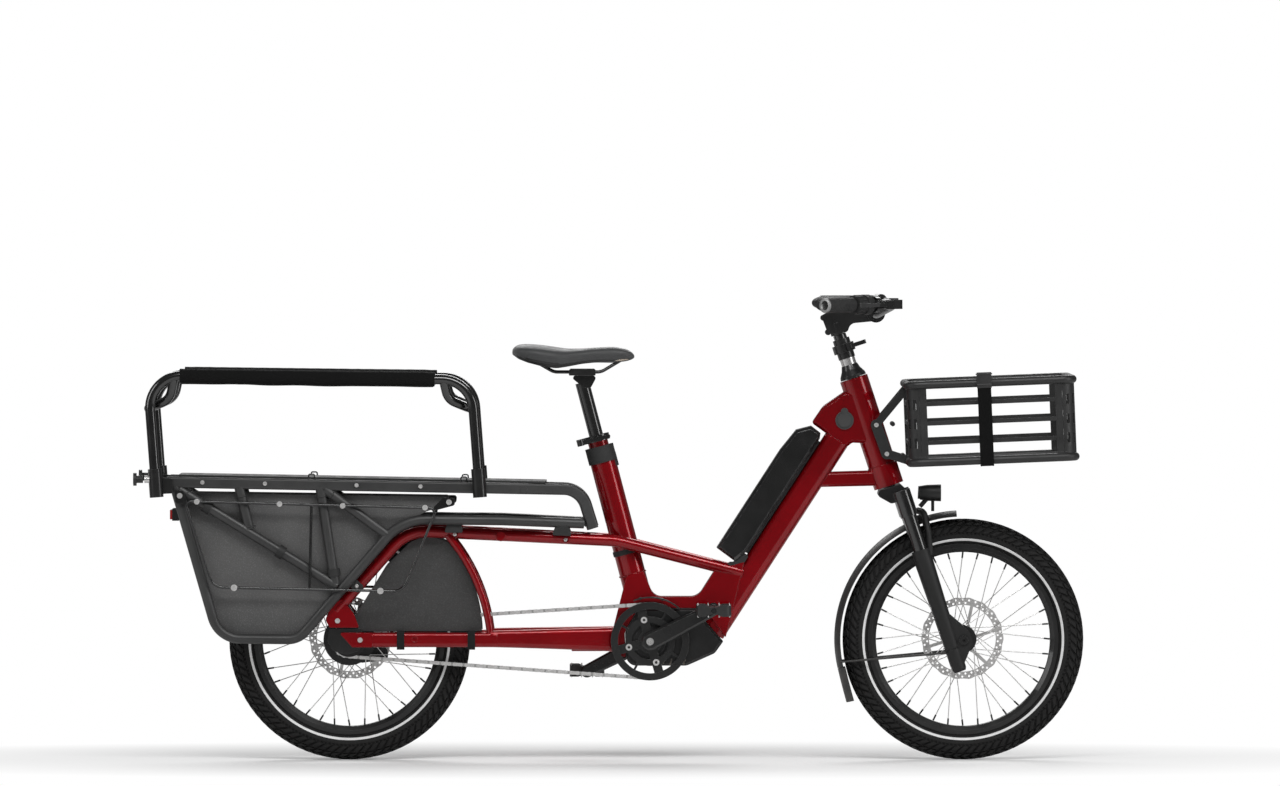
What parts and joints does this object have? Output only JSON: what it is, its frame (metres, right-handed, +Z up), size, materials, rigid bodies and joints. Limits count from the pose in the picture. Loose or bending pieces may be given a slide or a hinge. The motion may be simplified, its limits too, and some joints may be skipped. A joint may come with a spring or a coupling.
{
  "type": "cargo bicycle",
  "caption": "Long-tail electric cargo bicycle with a mid motor, rear rack with passenger hoops, side panels and a front basket.",
  "frame": {"origin": "on the ground under the middle of the overall length, on the centre plane", "axes": "+X forward, +Y to the rider's left, +Z up; the drive side is -Y"},
  "size_m": [2.0679, 0.6628, 1.0169],
  "materials": {
    "frame_red": "gloss dark red paint",
    "rack_black": "matte black powder coat",
    "black_metal": "satin black anodised",
    "black_plastic": "matte moulded plastic",
    "battery_black": "semi-gloss black case",
    "panel_grey": "dark grey, finely speckled",
    "steel": "bright silver",
    "tyre": "matte rubber with a reflective white stripe",
    "rubber": "matte black rubber",
    "saddle_black": "soft matte black cover",
    "fabric_black": "woven black padded sleeve",
    "red_lens": "red lamp lens in a black case"
  },
  "bodies": {
    "frame": {"main_frame": "frame_red", "dropout_plates": "black_metal", "headset_bearings": "steel", "battery_dock": "black_plastic", "motor_unit": "black_plastic", "chain": "steel", "seat_clamp": "black_metal", "rear_caliper": "black_metal", "rear_mudguard": "black_plastic", "rack_frame": "rack_black", "rack_clamps": "rubber", "rack_deck": "rack_black", "side_panels": "panel_grey", "wire_rails": "black_metal", "rear_light": "red_lens", "bar_sockets": "black_metal", "basket": "rack_black", "basket_bracket": "rack_black", "basket_strap": "rubber", "screws": "steel"},
    "battery": {"battery": "battery_black"},
    "port_cover": {"port_cover": "black_plastic"},
    "crank": {"chainring": "black_metal", "crankset": "black_metal"},
    "pedal_right": {"pedal_right": "black_plastic"},
    "pedal_left": {"pedal_left": "black_plastic"},
    "rear_sprocket": {"rear_sprocket": "black_metal"},
    "rear_wheel": {"rear_tyre": "tyre", "rear_rim": "black_metal", "rear_spokes": "steel", "rear_hub": "black_metal", "rear_disc": "steel"},
    "seatpost": {"seatpost": "black_metal", "saddle_rails": "black_metal", "saddle": "saddle_black"},
    "seat_clamp_lever": {"seat_clamp_lever": "black_metal"},
    "fork": {"fork_crown": "black_metal", "stem_column": "black_metal"},
    "stem_lever": {"stem_lever": "black_metal"},
    "fork_lowers": {"fork_lowers": "black_metal", "front_axle": "black_metal", "front_caliper": "black_metal", "front_mudguard": "black_plastic", "headlight": "black_plastic"},
    "front_wheel": {"front_tyre": "tyre", "front_rim": "black_metal", "front_spokes": "steel", "front_hub": "black_metal", "front_disc": "steel"},
    "stem": {"stem": "black_metal", "handlebar": "black_metal", "control_mounts": "black_plastic", "grips": "rubber"},
    "twist_shifter": {"twist_shifter": "rubber"},
    "brake_lever_left": {"brake_lever_left": "black_metal"},
    "brake_lever_right": {"brake_lever_right": "black_metal"},
    "remote_button": {"remote_button": "black_plastic"},
    "hoop_bar": {"hoop_bar": "rack_black", "rail_sleeves": "fabric_black"},
    "release_knobs": {"release_knobs": "black_plastic"}
  },
  "joints": [
    {"name": "battery_tilt", "type": "hinge", "parent": "frame", "child": "battery", "pos_m": [0.26847, 0, 0.43344], "axis": [0, -1, 0], "range_deg": [0, 20]},
    {"name": "port_cover_flip", "type": "hinge", "parent": "frame", "child": "port_cover", "pos_m": [0.509, -0.034, 0.764], "axis": [-1, 0, 0], "range_deg": [0, 110]},
    {"name": "crank_turn", "type": "hinge", "parent": "frame", "child": "crank", "pos_m": [0.085, 0, 0.26], "axis": [0, 1, 0], "continuous": true},
    {"name": "pedal_right_turn", "type": "hinge", "parent": "crank", "child": "pedal_right", "pos_m": [0.22311, -0.13, 0.33037], "axis": [0, 1, 0], "continuous": true},
    {"name": "pedal_left_turn", "type": "hinge", "parent": "crank", "child": "pedal_left", "pos_m": [-0.05311, 0.13, 0.18963], "axis": [0, 1, 0], "continuous": true},
    {"name": "rear_sprocket_turn", "type": "hinge", "parent": "frame", "child": "rear_sprocket", "pos_m": [-0.571, 0, 0.263], "axis": [0, 1, 0], "continuous": true},
    {"name": "rear_wheel_turn", "type": "hinge", "parent": "frame", "child": "rear_wheel", "pos_m": [-0.571, 0, 0.263], "axis": [0, 1, 0], "continuous": true},
    {"name": "seatpost_height", "type": "slide", "parent": "frame", "child": "seatpost", "axis": [-0.2544, 0, 0.9671], "range_m": [-0.09, 0.1]},
    {"name": "seat_clamp_release", "type": "hinge", "parent": "frame", "child": "seat_clamp_lever", "pos_m": [-0.0668, -0.033, 0.69158], "axis": [0.2544, 0, -0.9671], "range_deg": [0, 150]},
    {"name": "steering", "type": "hinge", "parent": "frame", "child": "fork", "pos_m": [0.5294, 0, 0.8323], "axis": [-0.3115, 0, 0.9502], "range_deg": [-60, 60]},
    {"name": "stem_clamp_release", "type": "hinge", "parent": "fork", "child": "stem_lever", "pos_m": [0.52501, -0.0345, 0.90347], "axis": [0.3115, 0, -0.9502], "range_deg": [0, 110]},
    {"name": "fork_travel", "type": "slide", "parent": "fork", "child": "fork_lowers", "axis": [-0.3115, 0, 0.9502], "range_m": [0, 0.04], "stiffness_N_per_m": 15000, "springref_m": -0.02},
    {"name": "front_wheel_turn", "type": "hinge", "parent": "fork_lowers", "child": "front_wheel", "pos_m": [0.768, 0, 0.263], "axis": [0, 1, 0], "continuous": true},
    {"name": "stem_height", "type": "slide", "parent": "fork", "child": "stem", "axis": [-0.3115, 0, 0.9502], "range_m": [0, 0.07]},
    {"name": "twist_shift", "type": "hinge", "parent": "stem", "child": "twist_shifter", "pos_m": [0.56, -0.212, 0.995], "axis": [-0.6788, -0.7343, -0.0069], "range_deg": [0, 150]},
    {"name": "brake_left", "type": "hinge", "parent": "stem", "child": "brake_lever_left", "pos_m": [0.58954, 0.24339, 0.99498], "axis": [-0.0047, 0.0051, 1], "range_deg": [0, 14], "stiffness_Nm_per_rad": 0.5, "springref_deg": -20.05},
    {"name": "brake_right", "type": "hinge", "parent": "stem", "child": "brake_lever_right", "pos_m": [0.58954, -0.24339, 0.99498], "axis": [0.0047, 0.0051, -1], "range_deg": [0, 14], "stiffness_Nm_per_rad": 0.5, "springref_deg": -20.05},
    {"name": "remote_press", "type": "slide", "parent": "stem", "child": "remote_button", "axis": [0.7343, 0.6789, 0], "range_m": [0, 0.001]},
    {"name": "hoop_lift", "type": "slide", "parent": "frame", "child": "hoop_bar", "axis": [-0.0745, 0, 0.9972], "range_m": [0, 0.045]},
    {"name": "knob_pull", "type": "slide", "parent": "frame", "child": "release_knobs", "axis": [-1, 0, 0], "range_m": [0, 0.008]}
  ],
  "couplings": [
    {"joint": "rear_sprocket_turn", "follows": "crank_turn", "ratio": 2.2222}
  ]
}
